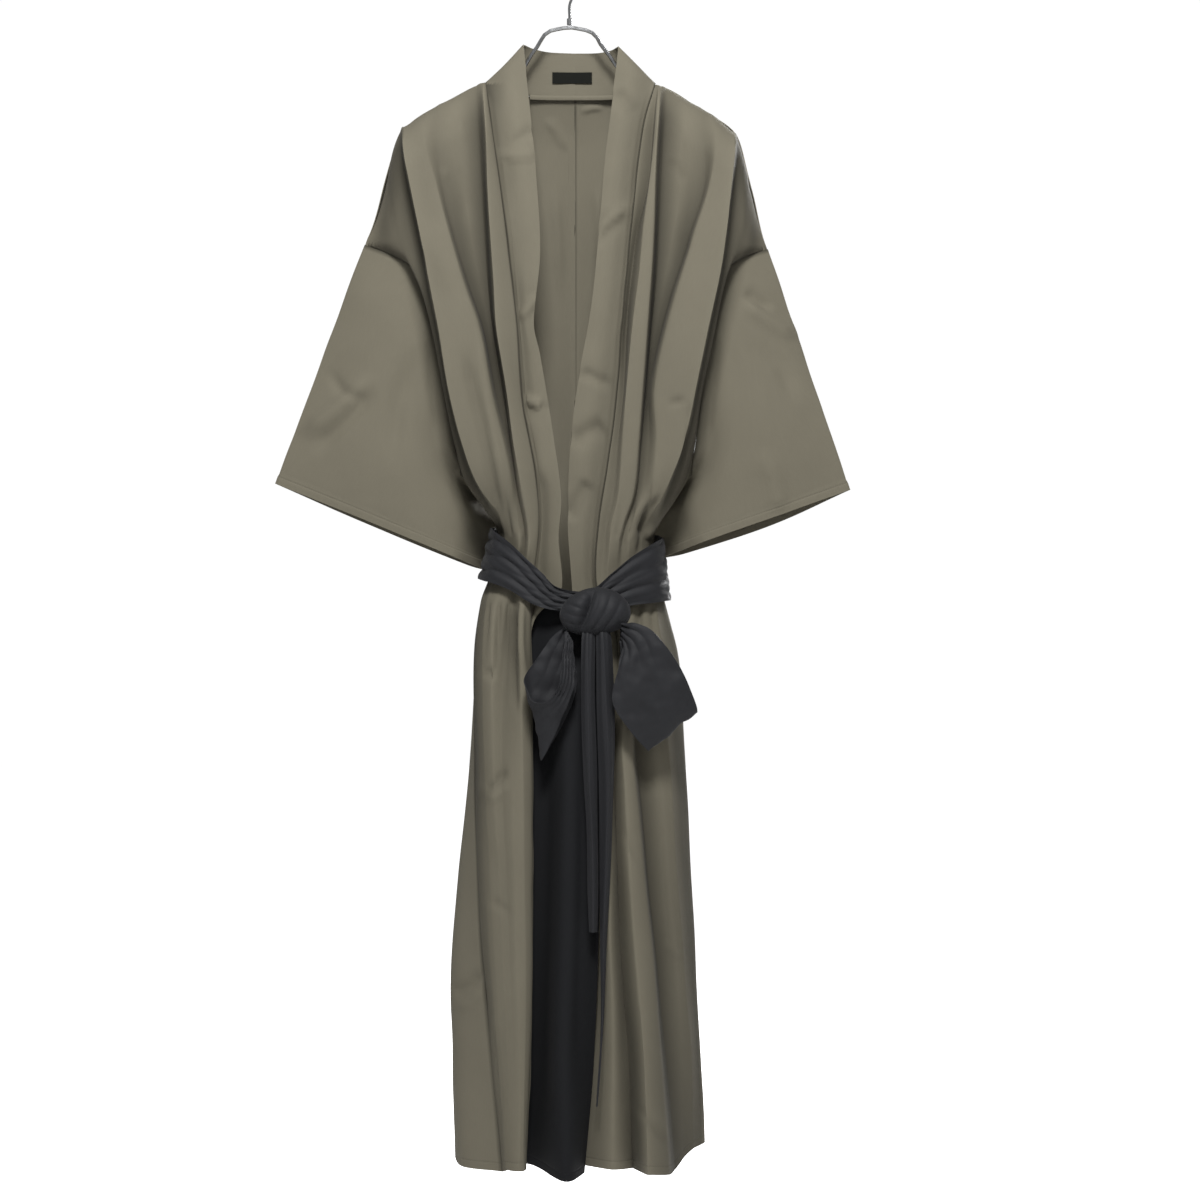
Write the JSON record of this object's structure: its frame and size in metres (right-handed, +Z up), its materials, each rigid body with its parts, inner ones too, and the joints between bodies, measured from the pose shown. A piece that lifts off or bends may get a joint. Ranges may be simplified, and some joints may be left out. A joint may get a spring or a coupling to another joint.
{
  "type": "kimono coat on a hanger",
  "caption": "Long kimono coat with wide short sleeves, neck band and a sash tied in a bow, hanging on a wire hanger.",
  "frame": {"origin": "the inside top of the hanger's hook, where the rail bears", "axes": "+Z up, +X to the wearer's left, and the fronts of the coat face -Y"},
  "size_m": [0.6605, 0.2374, 1.3793],
  "materials": {
    "khaki_cloth": "matte twill",
    "black_cloth": "matte twill",
    "sash_cloth": "fine plain weave",
    "label_cloth": "blank satin weave",
    "steel": "bright wire"
  },
  "bodies": {
    "root": {"front_right": "khaki_cloth", "front_left": "khaki_cloth", "back_right": "khaki_cloth", "back_left": "khaki_cloth", "sleeve_right": "khaki_cloth", "sleeve_left": "khaki_cloth", "band_right": "khaki_cloth", "band_left": "khaki_cloth", "front_panel": "black_cloth", "label": "label_cloth", "sash_waist": "sash_cloth", "sash_knot": "sash_cloth", "sash_loop_right": "sash_cloth", "sash_loop_left": "sash_cloth", "sash_end_right": "sash_cloth", "sash_end_left": "sash_cloth", "hanger_frame": "steel", "hanger_nut": "steel", "hanger_hook": "steel"}
  },
  "joints": []
}
